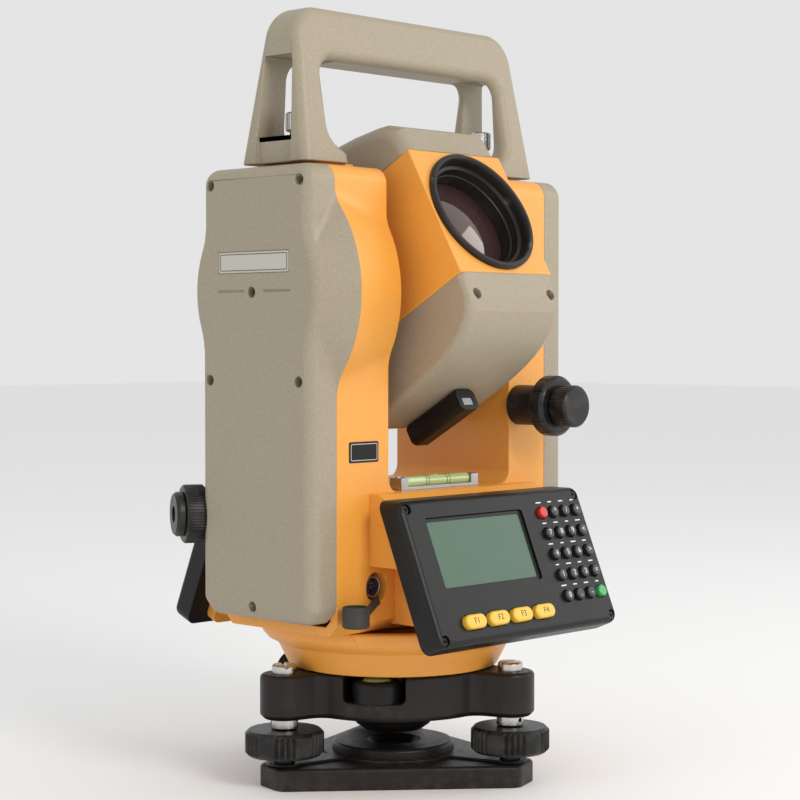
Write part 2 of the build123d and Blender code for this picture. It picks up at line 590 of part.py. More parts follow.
# ---------------------------------------------------------------- carrying handle
LEG_OUT_LOW = 72.5
LEG_OUT_HIGH = 67.3
LEG_IN = 56.0
GRIP_LOW = 309.0
SILL_Z = 274.5
with BuildPart() as handle:
    with BuildSketch(Plane.XZ.offset(-25)) as arch:
        with BuildLine():
            Polyline((-LEG_OUT_LOW, HANDLE_BOTTOM), (-LEG_OUT_HIGH, HANDLE_TOP), (LEG_OUT_HIGH, HANDLE_TOP),
                     (LEG_OUT_LOW, HANDLE_BOTTOM), (46, HANDLE_BOTTOM), (46, 269.6), (LEG_IN, 275.5),
                     (LEG_IN, GRIP_LOW), (-LEG_IN, GRIP_LOW), (-LEG_IN, 275.5), (-46, 269.6),
                     (-46, HANDLE_BOTTOM), close=True)
        make_face()
        fillet(arch.vertices().group_by(Axis.Y)[-1], 14)
        fillet(arch.vertices().filter_by(lambda v: abs(v.Y - GRIP_LOW) < 0.1), 8)
        fillet(arch.vertices().filter_by(lambda v: abs(v.Y - 275.5) < 0.1), 10)
    extrude(amount=50)
    with BuildSketch(Plane.YZ.offset(-90)):
        with BuildLine():
            Polyline((-20.5, HANDLE_BOTTOM), (-8.8, HANDLE_TOP), (8.8, HANDLE_TOP),
                     (20.5, HANDLE_BOTTOM), close=True)
        make_face()
    extrude(amount=180, mode=Mode.INTERSECT)
    sloped = handle.faces().filter_by(lambda f: abs(f.normal_at().Y) > 0.9)
    long_edges = [e for f in sloped for e in f.edges() if e.center().Z > HANDLE_BOTTOM + 0.5]
    fillet(long_edges, 4.5)
    for side in (-1, 1):
        with BuildSketch(Plane.YZ.offset(side * 44)) as window:
            with BuildLine():
                Polyline((-10.4, SILL_Z), (-8.3, 310.5), (8.3, 310.5), (10.4, SILL_Z), close=True)
            make_face()
            fillet(window.vertices(), 1.2)
        extrude(amount=side * 40, mode=Mode.SUBTRACT)
        with BuildSketch(Plane.YZ.offset(side * (LEG_OUT_LOW - 2.0))):
            with Locations((0, (SILL_Z + HANDLE_BOTTOM) / 2)):
                Rectangle(20.8, SILL_Z - HANDLE_BOTTOM + 4)
        extrude(amount=side * 10, mode=Mode.SUBTRACT)
        with BuildSketch(Plane.XY.offset(HANDLE_BOTTOM - 1)):
            with Locations((side * HANDLE_SCREW_X, 0)):
                Circle(2.9)
        extrude(amount=20, mode=Mode.SUBTRACT)
save(handle.part, "handle")

for name, side in (("left", -1), ("right", 1)):
    with BuildPart() as handle_screw:
        with Locations((side * HANDLE_SCREW_X, 0, 279.0)):
            add(ribbed(5.0, 8.3, 20, 0.45, 0.8))
        with Locations((side * HANDLE_SCREW_X, 0, 0)):
            add(turned([(0, 254), (2.4, 254), (2.4, SILL_Z + GAP), (4.4, SILL_Z + GAP), (4.4, 276.2),
                        (3.2, 276.2), (3.2, 279.5), (0, 279.5)]))
    save(handle_screw.part, f"handle_screw_{name}")


# ---------------------------------------------------------------- plate level
VIAL_Y = -29.5
with BuildPart() as plate_level_mount:
    with BuildSketch(Plane.XY.offset(SLOT_FLOOR)):
        with Locations((-4.7, VIAL_Y)):
            RectangleRounded(50, 7, 1.5)
    extrude(amount=1.6)
    for x in (-27.0, 17.5):
        with BuildSketch(Plane.YZ.offset(x - 2.2)):
            with Locations((VIAL_Y, SLOT_FLOOR + 2.7)):
                Rectangle(7, 5.4)
        extrude(amount=4.4)
    with BuildSketch(Plane.YZ.offset(-25)):
        with Locations((VIAL_Y, 131.4)):
            Circle(2.55)
    extrude(amount=41, mode=Mode.SUBTRACT)
    with BuildSketch(Plane.XY.offset(SLOT_FLOOR + 5)):
        with Locations((-27.6, VIAL_Y)):
            Circle(1.4)
    extrude(amount=1.0)
save(plate_level_mount.part, "plate_level_mount")

with BuildPart() as plate_level_vial:
    with BuildSketch(Plane.YZ.offset(-24.9)):
        with Locations((VIAL_Y, 131.4)):
            Circle(2.5)
    extrude(amount=40)
save(plate_level_vial.part, "plate_level_vial")


# ---------------------------------------------------------------- control panels
pad_keys = [(PAD_X + PAD_PITCH * column, -(PAD_V + PAD_ROW * row))
            for row in range(5) for column in range(4)]
power_spot = pad_keys[0]
enter_spot = pad_keys[-1]
number_spots = pad_keys[1:-1]
f_spots = [(x, -F_KEYS_V) for x in F_KEYS_X]
SCREEN_X = (-43.0 + 18.3) / 2
SCREEN_V = -(7.5 + 39.0) / 2
SCREEN_WIDE = 61.3
SCREEN_HIGH = 31.5


CASE_LIP = 6.0                # room above the face for the case's level top


def panel_case(face):
    """Black moulded case with the display window, the key wells and four screw wells."""
    with BuildPart() as case:
        with BuildSketch(face):
            with Locations(((PANEL_LEFT + PANEL_RIGHT) / 2, (CASE_LIP - PANEL_HEIGHT) / 2)):
                Rectangle(PANEL_RIGHT - PANEL_LEFT, PANEL_HEIGHT + CASE_LIP)
        extrude(amount=-PANEL_THICK)
        with BuildSketch(Plane.XY.offset(PANEL_TOP_Z)):
            Rectangle(200, 200)
        extrude(amount=20, mode=Mode.SUBTRACT)
        corners = case.edges().filter_by(
            lambda e: abs(face.to_local_coords(e.center()).Z + PANEL_THICK / 2) < 0.3)
        fillet(corners, 4.5)
        rim = case.edges().filter_by(lambda e: abs(face.to_local_coords(e.center()).Z) < 0.01)
        fillet(rim, 3.0)
        with BuildSketch(face):
            with Locations((SCREEN_X, SCREEN_V)):
                RectangleRounded(SCREEN_WIDE, SCREEN_HIGH, 1.5)
        extrude(amount=-3.5, mode=Mode.SUBTRACT)
        with BuildSketch(face):
            with Locations(*f_spots):
                SlotOverall(12.3 + 2 * GAP, 6 + 2 * GAP)
            with Locations(*pad_keys):
                Circle(KEY_R + GAP)
        extrude(amount=-POCKET_DEPTH, mode=Mode.SUBTRACT)
        with BuildSketch(face):
            with Locations(*PANEL_SCREWS):
                Circle(SCREW_SINK_R)
        extrude(amount=-PANEL_SINK, mode=Mode.SUBTRACT)
        with BuildSketch(face):
            with Locations(*PANEL_SCREWS):
                Circle(1.25)
        extrude(amount=-9.5, mode=Mode.SUBTRACT)
    return case.part


def screen(face):
    with BuildPart() as glass:
        with BuildSketch(face.offset(-3.5)):
            with Locations((SCREEN_X, SCREEN_V)):
                RectangleRounded(SCREEN_WIDE - 0.2, SCREEN_HIGH - 0.2, 1.4)
        extrude(amount=2.1)
    return glass.part


def long_keys(face, spots):
    """Obround function keys with rounded tops."""
    with BuildPart() as keys:
        with BuildSketch(face.offset(-KEY_DEPTH)):
            with Locations(*spots):
                SlotOverall(12.3, 6)
        extrude(amount=KEY_DEPTH + 2.5)
        tops = keys.edges().filter_by(lambda e: abs(face.to_local_coords(e.center()).Z - 2.5) < 0.01)
        fillet(tops, 1.1)
    return keys.part


def round_keys(face, spots):
    with BuildPart() as keys:
        with BuildSketch(face.offset(-KEY_DEPTH)):
            with Locations(*spots):
                Circle(KEY_R)
        extrude(amount=KEY_DEPTH + 2.0)
        tops = keys.edges().filter_by(lambda e: abs(face.to_local_coords(e.center()).Z - 2.0) < 0.01)
        fillet(tops, 0.7)
    return keys.part


for side, face in (("front", front_face), ("rear", rear_face)):
    save(panel_case(face), f"{side}_panel_case")
    save(round_keys(face, [power_spot]), f"{side}_power_key")
    save(round_keys(face, [enter_spot]), f"{side}_enter_key")
    save(round_keys(face, number_spots), f"{side}_number_keys")
for index, spot in enumerate(f_spots, start=1):
    save(long_keys(front_face, [spot]), f"front_f{index}_key")
save(long_keys(rear_face, f_spots), "rear_f_keys")
with BuildPart() as display_windows:
    add(screen(front_face))
    add(screen(rear_face))
save(display_windows.part, "display_windows")


# ---------------------------------------------------------------- socket and plummet
socket_plane = Plane(origin=(SOCKET_X, -STANDARD_HALF, SOCKET_Z), x_dir=(1, 0, 0), z_dir=(0, -1, 0))
with BuildPart() as data_socket:
    add(turned([(0, -11), (6.2, -11), (6.2, -7.5), (4.4, -7.5), (4.4, -2.4), (4.0, -2.0), (3.7, -2.4),
                (3.7, -8.0), (0, -8.0)]).moved(socket_plane.location))
    with BuildSketch(socket_plane.offset(-8.0)):
        with PolarLocations(2.0, 6):
            Circle(0.45)
    extrude(amount=-2, mode=Mode.SUBTRACT)
save(data_socket.part, "data_socket")

CAP_X = -66.0
CAP_Y = -42.5
CAP_BOTTOM = 74.8
with BuildPart() as socket_cap:
    with Locations((CAP_X, CAP_Y, CAP_BOTTOM)):
        add(turned([(0, 0), (5.0, 0), (5.6, 0.6), (5.6, 8.4), (5.2, 8.8), (4.4, 8.8), (4.4, 1.8),
                    (0, 1.8)]))
    with BuildSketch(Plane(origin=(CAP_X + 5.2, CAP_Y + 1.6, CAP_BOTTOM + 3.5), x_dir=(0, 1, 0),
                           z_dir=(12.5, 4.1, 5.0))):
        Rectangle(1.3, 3.4)
    extrude(amount=16)
save(socket_cap.part, "socket_cap")

with BuildPart() as plummet_tube:
    with BuildSketch(plummet_plane.offset(14)):
        Circle(4.5)
    extrude(amount=40)
    with BuildSketch(plummet_plane.offset(50)):
        Circle(PLUMMET_TUBE_R)
    extrude(amount=35)
    with BuildSketch(plummet_plane.offset(85)):
        Circle(7.0)
    extrude(amount=12)
    with BuildSketch(plummet_plane.offset(13)):
        Circle(3.2)
    extrude(amount=90, mode=Mode.SUBTRACT)
save(plummet_tube.part, "plummet_tube")

with BuildPart() as plummet_focus_ring:
    add(ribbed(12.6, 9.4, 60, 0.45, 0.8).moved(plummet_plane.offset(85.3).location))
    with BuildSketch(plummet_plane.offset(85)):
        Circle(7.0 + RUNNING)
    extrude(amount=10, mode=Mode.SUBTRACT)
save(plummet_focus_ring.part, "plummet_focus_ring")

with BuildPart() as plummet_eyepiece:
    add(turned([(7.0 + RUNNING, 95.0), (9.6, 95.0), (9.6, 97.4), (8.6, 98.6), (3.5, 98.6), (3.5, 97.3),
                (7.0 + RUNNING, 97.3)]).moved(plummet_plane.location))
save(plummet_eyepiece.part, "plummet_eyepiece")


# ---------------------------------------------------------------- clamp and tangent knobs
clamp_planes = {
    "vertical": Plane(origin=(CLAMP_X, -STANDARD_HALF, CLAMP_Z), z_dir=(0, -1, 0)),
    "horizontal": Plane(origin=(RIGHT_FACE, 0, SIDE_CLAMP_Z), z_dir=(1, 0, 0)),
}
CLAMP_REACH = {"vertical": 15.2, "horizontal": 3.5}
with BuildPart() as clamp_bosses:
    for name, plane in clamp_planes.items():
        reach = CLAMP_REACH[name]
        root = 0.1 if name == "vertical" else -12.4
        add(turned([(0, root), (8.9, root), (8.9, reach - 1), (7.9, reach), (4.0, reach),
                    (4.0, reach + 15), (0, reach + 15)]).moved(plane.location))
save(clamp_bosses.part, "clamp_bosses")

for name, plane in clamp_planes.items():
    start = CLAMP_REACH[name] + GAP
    with BuildPart() as clamp_ring:
        add(ribbed(13.3, 8.2, 12, 0.5, 1.6).moved(plane.offset(start).location))
        with BuildSketch(plane.offset(start - 1)):
            Circle(4.0 + RUNNING)
        extrude(amount=12, mode=Mode.SUBTRACT)
    save(clamp_ring.part, f"{name}_clamp_ring")
    with BuildPart() as tangent_knob:
        add(ribbed(9.2, 9.5, 36, 0.3, 1.0).moved(plane.offset(start + 8.5).location))
        with BuildSketch(plane.offset(start + 8)):
            Circle(4.0 + RUNNING)
        extrude(amount=8, mode=Mode.SUBTRACT)
    save(tangent_knob.part, f"{name}_tangent_knob")


# ---------------------------------------------------------------- telescope
tilt = radians(ELEVATION)
line_of_sight = Vector(0, -cos(tilt), sin(tilt))
tube_side = Plane(origin=(0, 0, TRUNNION_Z), x_dir=line_of_sight, z_dir=(-1, 0, 0))
tube_axis = Plane(origin=(0, 0, TRUNNION_Z), x_dir=(1, 0, 0), z_dir=line_of_sight)
TUBE_FRONT = 59.5
TUBE_REAR = -34.0
SEAM_Q = 30.0
top_outline = [(TUBE_FRONT, 30), (58, 42), (51, 48), (46, 50), (33, 54), (20, 57), (-20, 57),
               (-30, 52), (-36, 42), (-37, 30)]
bottom_outline = [(TUBE_FRONT, -30), (58.5, -41), (55.5, -46.3), (51.5, -50), (46.5, -53), (41, -55.3),
                  (35, -57), (29, -58.1), (22, -58.9), (12, -59.6), (-20, -60), (-28, -57), (-33, -50),
                  (-36, -42), (-37, -30)]
screw_spots = [(x, -39.5) for x in (-23.5, 23.5)]

with BuildPart() as telescope_body:
    with BuildSketch(tube_side):
        with Locations(((TUBE_FRONT + TUBE_REAR) / 2, 0)):
            Rectangle(TUBE_FRONT - TUBE_REAR, 2 * SEAM_Q)
    extrude(amount=TUBE_HALF, both=True)
    add(turned([(0, 0), (15, 0), (15, 25), (9, 25), (9, 36), (0, 36)])
        .moved((tube_axis * Location((0, 0, TUBE_REAR), (180, 0, 0)))))
    add(turned([(0, -80), (6, -80), (6, -20), (14, -16), (14, 0), (27, 14), (27, 70), (0, 70)])
        .moved(tube_axis.location), mode=Mode.SUBTRACT)
save(telescope_body.part, "telescope_body")


def tube_cover(points, toward, edge_radius):
    """Grey shell over or under the telescope housing, open where it meets the housing."""
    with BuildPart() as cover:
        with BuildSketch(tube_side) as side:
            with BuildLine():
                Polyline(*points, close=True)
            make_face()
        extrude(amount=TUBE_HALF, both=True)
        walls = [f for f in cover.faces() if abs(f.normal_at().X) > 0.99]
        rim = [e for f in walls for e in f.edges()
               if abs(tube_side.to_local_coords(e.center()).Y) > SEAM_Q + 0.1]
        fillet(rim, edge_radius)
        with BuildSketch(tube_side):
            with Locations((0, -toward * 4)):
                with BuildLine():
                    Polyline(*points, close=True)
                make_face()
            offset(amount=-WALL, mode=Mode.REPLACE)
        extrude(amount=TUBE_HALF - WALL, both=True, mode=Mode.SUBTRACT)
    return cover.part


save(tube_cover(top_outline, 1, 6.5), "telescope_top_cover")

SCREW_FACE = 58.6             # the covers' front where the screws sit, along the line of sight
with BuildPart() as telescope_bottom_cover:
    add(tube_cover(bottom_outline, -1, 3.5))
    with BuildSketch(tube_axis.offset(38)):
        with Locations(*screw_spots):
            Circle(3.6)
    extrude(amount=18)
    with BuildSketch(tube_axis.offset(SCREW_FACE - CASE_SINK)):
        with Locations(*screw_spots):
            Circle(SCREW_SINK_R)
    extrude(amount=12, mode=Mode.SUBTRACT)
    with BuildSketch(tube_axis.offset(36)):
        with Locations(*screw_spots):
            Circle(1.25)
    extrude(amount=24, mode=Mode.SUBTRACT)
save(telescope_bottom_cover.part, "telescope_bottom_cover")

with BuildPart() as telescope_screws:
    for x, q in screw_spots:
        add(screw(12).moved(tube_axis * Location((x, q, SCREW_FACE - CASE_SINK + HEAD_HEIGHT))))
save(telescope_screws.part, "telescope_screws")

with BuildPart() as objective_ring:
    add(turned([(26.9, 40), (26.9, TUBE_FRONT), (28.4, TUBE_FRONT), (28.4, 61.2), (27.6, 62.0),
                (26.2, 62.0), (25.4, 60.8), (25.0, 57), (23.6, 56.6), (23.2, 53), (22.6, 52.6),
                (22.6, 40)]).moved(tube_axis.location))
save(objective_ring.part, "objective_ring")

LENS_R = 22.5
FRONT_CURVE = 70.0
with BuildPart() as objective_lens:
    with BuildSketch(Plane.XZ):
        with BuildLine():
            Line((0, 43), (LENS_R, 43))
            Line((LENS_R, 43), (LENS_R, 47))
            ThreePointArc((LENS_R, 47), (FRONT_CURVE * sin(asin(LENS_R / FRONT_CURVE) / 2),
                          47 - sqrt(FRONT_CURVE**2 - LENS_R**2)
                          + FRONT_CURVE * cos(asin(LENS_R / FRONT_CURVE) / 2)),
                          (0, 47 + FRONT_CURVE - sqrt(FRONT_CURVE**2 - LENS_R**2)))
            Line((0, 47 + FRONT_CURVE - sqrt(FRONT_CURVE**2 - LENS_R**2)), (0, 43))
        make_face()
    revolve(axis=Axis.Z)
save(objective_lens.part.moved(tube_axis.location), "objective_lens")

eyepiece_axis = tube_axis * Location((0, 0, 0), (180, 0, 0))
with BuildPart() as focus_ring:
    add(ribbed(21, 19.5, 36, 0.9, 1.2).moved(eyepiece_axis * Location((0, 0, 38.5))))
    add(turned([(0, 30), (15 + RUNNING, 30), (15 + RUNNING, 70), (0, 70)]).moved(eyepiece_axis),
        mode=Mode.SUBTRACT)
save(focus_ring.part, "focus_ring")

with BuildPart() as eyepiece:
    add(ribbed(13.5, 17, 28, 0.7, 0.8).moved(eyepiece_axis * Location((0, 0, 59.4))))
    add(turned([(11, 76), (12.2, 76), (12.2, 80), (9.5, 80), (9.5, 76)]).moved(eyepiece_axis))
    add(turned([(0, 55), (9 + RUNNING, 55), (9 + RUNNING, 71), (5, 71), (7.5, 82), (0, 82)])
        .moved(eyepiece_axis), mode=Mode.SUBTRACT)
save(eyepiece.part, "eyepiece")

with BuildPart() as sight_collimators:
    for crown, toward in ((-60.0, -1), (57.0, 1)):
        with BuildSketch(tube_axis.offset(-20)):
            with Locations((0, crown + toward * 4.9)):
                RectangleRounded(12, 9.8, 3.0)
        extrude(amount=33.4)
        with BuildSketch(tube_axis.offset(12.4)):
            with Locations((0, crown + toward * 5.8)):
                Rectangle(6.4, 3.6)
        extrude(amount=2, mode=Mode.SUBTRACT)
save(sight_collimators.part, "sight_collimators")


# ---------------------------------------------------------------- trunnion
with BuildPart() as trunnion_axles:
    for outward in (-1, 1):
        plane = Plane(origin=(0, 0, TRUNNION_Z), z_dir=(outward, 0, 0))
        add(turned([(0, TUBE_HALF), (16, TUBE_HALF), (16, 32), (15, 33), (AXLE_R, 33), (AXLE_R, 57.5),
                    (AXLE_R - 0.5, 58), (0, 58)]).moved(plane.location))
save(trunnion_axles.part, "trunnion_axles")

with BuildPart() as trunnion_bushes:
    for outward in (-1, 1):
        plane = Plane(origin=(0, 0, TRUNNION_Z), z_dir=(outward, 0, 0))
        bore = AXLE_R + RUNNING
        inner = SLOT_HALF + INNER_WALL
        add(turned([(bore, SLOT_HALF), (10.95, SLOT_HALF), (10.95, inner), (14.5, inner),
                    (14.5, inner + 2), (bore, inner + 2)]).moved(plane.location))
save(trunnion_bushes.part, "trunnion_bushes")

circle_plane = Plane(origin=(0, 0, TRUNNION_Z), z_dir=(-1, 0, 0))
with BuildPart() as vertical_circle:
    bore = AXLE_R + 0.02
    add(turned([(bore, 48), (12, 48), (12, 51), (30, 51), (30, 53), (12, 53), (12, 55), (bore, 55)])
        .moved(circle_plane.location))
save(vertical_circle.part, "vertical_circle")
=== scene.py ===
"""Looks of the surveying total station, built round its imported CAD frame. Metres, +Z up."""
import json
import math

import bmesh
import bpy
from mathutils import Matrix, Vector

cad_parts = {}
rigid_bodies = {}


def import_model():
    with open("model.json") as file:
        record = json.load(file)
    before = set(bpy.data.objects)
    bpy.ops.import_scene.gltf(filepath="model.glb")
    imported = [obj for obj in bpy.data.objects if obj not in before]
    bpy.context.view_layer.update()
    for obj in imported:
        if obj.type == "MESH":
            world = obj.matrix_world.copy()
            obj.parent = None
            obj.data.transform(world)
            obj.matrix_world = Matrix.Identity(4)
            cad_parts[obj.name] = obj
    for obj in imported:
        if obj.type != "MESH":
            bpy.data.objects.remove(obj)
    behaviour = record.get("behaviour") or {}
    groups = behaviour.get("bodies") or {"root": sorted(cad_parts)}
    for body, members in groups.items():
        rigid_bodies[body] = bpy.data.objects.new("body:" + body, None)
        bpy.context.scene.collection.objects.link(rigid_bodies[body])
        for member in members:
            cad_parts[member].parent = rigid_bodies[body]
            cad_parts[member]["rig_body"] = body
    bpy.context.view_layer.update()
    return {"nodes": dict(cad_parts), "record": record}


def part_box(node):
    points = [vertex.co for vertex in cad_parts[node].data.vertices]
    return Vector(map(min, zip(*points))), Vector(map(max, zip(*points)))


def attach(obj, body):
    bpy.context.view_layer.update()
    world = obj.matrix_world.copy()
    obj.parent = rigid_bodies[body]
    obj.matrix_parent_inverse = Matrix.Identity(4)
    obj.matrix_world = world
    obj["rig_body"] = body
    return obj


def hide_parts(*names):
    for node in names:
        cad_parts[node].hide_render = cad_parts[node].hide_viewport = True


MM = 0.001
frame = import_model()
nodes = frame["nodes"]


# ---------------------------------------------------------------- shader helpers
class Shader:
    """A procedural Principled material in object coordinates, with short calls for its nodes."""

    def __init__(self, name, colour, roughness=0.5, metallic=0.0, **sockets):
        self.material = bpy.data.materials.new(name)
        self.material.use_nodes = True
        self.tree = self.material.node_tree
        self.shader = self.tree.nodes["Principled BSDF"]
        self.set(Base_Color=(*colour, 1), Roughness=roughness, Metallic=metallic, **sockets)
        self.place = self.tree.nodes.new("ShaderNodeTexCoord").outputs["Object"]
        self.height = None

    def set(self, **sockets):
        for name, value in sockets.items():
            self.shader.inputs[name.replace("_", " ")].default_value = value

    def node(self, kind, inputs=None, **settings):
        made = self.tree.nodes.new(kind)
        for name, value in settings.items():
            setattr(made, name, value)
        for name, value in (inputs or {}).items():
            if isinstance(value, bpy.types.NodeSocket):
                self.tree.links.new(value, made.inputs[name])
            else:
                made.inputs[name].default_value = value
        return made

    def noise(self, size, detail=2.0, stretch=(1, 1, 1)):
        """Noise whose grain is about size metres across."""
        mapped = self.node("ShaderNodeMapping", {"Vector": self.place, "Scale": stretch})
        return self.node("ShaderNodeTexNoise", {"Vector": mapped.outputs["Vector"], "Scale": 1 / size,
                                                "Detail": detail, "Roughness": 0.5}).outputs["Fac"]

    def cells(self, size):
        """Distance to the middle of cells about size metres across."""
        return self.node("ShaderNodeTexVoronoi",
                         {"Vector": self.place, "Scale": 1 / size}).outputs["Distance"]

    def spread(self, value, low, high, start=0.0, end=1.0):
        """Maps value from start..end to low..high."""
        return self.node("ShaderNodeMapRange", {"Value": value, "From Min": start, "From Max": end,
                                                "To Min": low, "To Max": high}).outputs["Result"]

    def tint(self, factor, colour):
        """Mixes a second colour over what Base Color has, by factor."""
        base = self.shader.inputs["Base Color"]
        mix = self.node("ShaderNodeMix", {"Factor": factor}, data_type="RGBA")
        if base.is_linked:
            self.tree.links.new(base.links[0].from_socket, mix.inputs[6])
        else:
            mix.inputs[6].default_value = base.default_value[:]
        mix.inputs[7].default_value = (*colour, 1)
        self.tree.links.new(mix.outputs[2], base)

    def rough(self, value):
        self.tree.links.new(value, self.shader.inputs["Roughness"])
        return self

    def bump(self, value, depth, strength=1.0):
        inputs = {"Height": value, "Distance": depth, "Strength": strength}
        if self.height is not None:
            inputs["Normal"] = self.height
        self.height = self.node("ShaderNodeBump", inputs).outputs["Normal"]
        self.tree.links.new(self.height, self.shader.inputs["Normal"])
        return self

    def edges(self, start=0.52, end=0.62):
        """1 on sharp outer edges, 0 elsewhere, broken up by noise."""
        point = self.node("ShaderNodeNewGeometry").outputs["Pointiness"]
        worn = self.spread(point, 0, 1, start, end)
        patch = self.spread(self.noise(0.006, 3), 0, 1, 0.45, 0.6)
        return self.node("ShaderNodeMath", {0: worn, 1: patch}, operation="MULTIPLY").outputs["Value"]


def orange_enamel():
    s = Shader("orange_enamel", (0.80, 0.345, 0.052), 0.44, Coat_Weight=0.12, Coat_Roughness=0.25)
    s.tint(s.spread(s.noise(0.05, 3), 0, 0.35), (0.72, 0.285, 0.036))
    s.tint(s.spread(s.noise(0.0011, 2), 0, 0.22, 0.4, 0.7), (0.88, 0.44, 0.09))
    s.rough(s.spread(s.noise(0.012, 3), 0.34, 0.5))
    s.bump(s.noise(0.0009, 2), 0.00006, 0.6)
    return s.bump(s.noise(0.004, 2), 0.00008, 0.35).material


def grey_shell():
    s = Shader("grey_shell", (0.335, 0.285, 0.205), 0.5, Coat_Weight=0.08, Coat_Roughness=0.35)
    s.tint(s.spread(s.cells(0.0011), 0.35, 0, 0.1, 0.6), (0.25, 0.21, 0.15))
    s.tint(s.spread(s.noise(0.0006, 1), 0, 0.5, 0.5, 0.75), (0.44, 0.385, 0.29))
    s.tint(s.spread(s.noise(0.06, 3), 0, 0.2), (0.30, 0.25, 0.18))
    s.rough(s.spread(s.noise(0.001, 2), 0.42, 0.6))
    s.bump(s.cells(0.0011), 0.00006, 0.5)
    return s.bump(s.noise(0.0006, 2), 0.00004, 0.5).material


def black_anodised():
    s = Shader("black_anodised", (0.012, 0.010, 0.009), 0.38, 0.1, Specular_IOR_Level=0.3)
    s.tint(s.spread(s.noise(0.02, 4), 0, 0.6), (0.020, 0.016, 0.014))
    s.tint(s.edges(), (0.10, 0.085, 0.075))
    s.rough(s.spread(s.noise(0.003, 4), 0.28, 0.5))
    return s.bump(s.noise(0.0007, 3), 0.00004, 0.6).material


def satin_black():
    s = Shader("satin_black", (0.0075, 0.007, 0.007), 0.36, Specular_IOR_Level=0.26)
    s.tint(s.spread(s.noise(0.03, 3), 0, 0.5), (0.013, 0.012, 0.011))
    s.rough(s.spread(s.noise(0.0015, 3), 0.3, 0.46))
    return s.bump(s.noise(0.00045, 2), 0.00003, 0.6).material


def knob_black():
    s = Shader("knob_black", (0.0085, 0.008, 0.0075), 0.3, Specular_IOR_Level=0.34)
    s.tint(s.edges(0.5, 0.6), (0.06, 0.055, 0.05))
    s.rough(s.spread(s.noise(0.002, 3), 0.26, 0.45))
    return s.bump(s.noise(0.0008, 2), 0.00003, 0.5).material


def black_rubber():
    s = Shader("black_rubber", (0.026, 0.024, 0.021), 0.62)
    s.tint(s.spread(s.noise(0.004, 4), 0, 0.7), (0.045, 0.041, 0.036))
    s.rough(s.spread(s.noise(0.001, 2), 0.5, 0.75))
    return s.bump(s.noise(0.0006, 3), 0.00005, 0.6).material


def bright_steel():
    s = Shader("bright_steel", (0.62, 0.61, 0.59), 0.24, 1.0)
    s.tint(s.spread(s.noise(0.002, 4), 0, 0.5), (0.42, 0.41, 0.39))
    s.rough(s.spread(s.noise(0.0015, 3, stretch=(1, 1, 12)), 0.16, 0.36))
    return s.bump(s.noise(0.0006, 2, stretch=(1, 1, 14)), 0.00002, 0.6).material


def milled_aluminium():
    s = Shader("milled_aluminium", (0.56, 0.56, 0.56), 0.32, 1.0)
    s.tint(s.spread(s.noise(0.003, 4), 0, 0.5), (0.40, 0.40, 0.40))
    s.rough(s.spread(s.noise(0.001, 3, stretch=(14, 1, 1)), 0.24, 0.42))
    return s.bump(s.noise(0.0005, 2, stretch=(14, 1, 1)), 0.00002, 0.5).material


def bearing_bronze():
    s = Shader("bearing_bronze", (0.55, 0.34, 0.14), 0.33, 1.0)
    s.tint(s.spread(s.noise(0.004, 4), 0, 0.6), (0.38, 0.22, 0.09))
    return s.rough(s.spread(s.noise(0.001, 3), 0.25, 0.45)).material


def level_glass():
    s = Shader("level_glass", (0.42, 0.52, 0.20), 0.06, Coat_Weight=0.8, Coat_Roughness=0.03)
    s.tint(s.spread(s.noise(0.01, 2), 0, 0.4), (0.52, 0.60, 0.28))
    return s.rough(s.spread(s.noise(0.004, 2), 0.04, 0.1)).material


def lens_glass():
    """Coated doublet: a dark violet body under a sharp clear coat."""
    s = Shader("lens_glass", (0.035, 0.025, 0.035), 0.05, Coat_Weight=1.0, Coat_Roughness=0.02,
               Coat_Tint=(1.0, 0.86, 0.72, 1.0), IOR=1.7)
    s.tint(s.spread(s.noise(0.03, 1), 0, 0.6), (0.085, 0.04, 0.05))
    return s.rough(s.spread(s.noise(0.02, 2), 0.03, 0.08)).material


def display():
    s = Shader("display", (0.046, 0.105, 0.062), 0.2, Specular_IOR_Level=0.3)
    s.tint(s.spread(s.noise(0.03, 2), 0, 0.5), (0.055, 0.12, 0.072))
    s.tint(s.spread(s.noise(0.0004, 1), 0, 0.14, 0.5, 0.7), (0.08, 0.15, 0.1))
    return s.rough(s.spread(s.noise(0.01, 2), 0.14, 0.24)).material


def key_plastic(name, colour, shade):
    s = Shader(name, colour, 0.4, Coat_Weight=0.15, Coat_Roughness=0.3)
    s.tint(s.spread(s.noise(0.004, 3), 0, 0.6), shade)
    s.rough(s.spread(s.noise(0.001, 2), 0.32, 0.5))
    return s.bump(s.noise(0.0005, 2), 0.00003, 0.5).material


def printed(name, colour, roughness=0.5):
    s = Shader(name, colour, roughness)
    s.tint(s.spread(s.noise(0.0007, 3), 0, 0.3), tuple(0.8 * c for c in colour))
    return s.rough(s.spread(s.noise(0.001, 2), roughness - 0.06, roughness + 0.08)).material


def studio_floor():
    s = Shader("studio_floor", (0.93, 0.93, 0.93), 0.75)
    s.tint(s.spread(s.noise(0.5, 2), 0, 0.05), (0.9, 0.9, 0.9))
    return s.rough(s.spread(s.noise(0.1, 2), 0.7, 0.8)).material


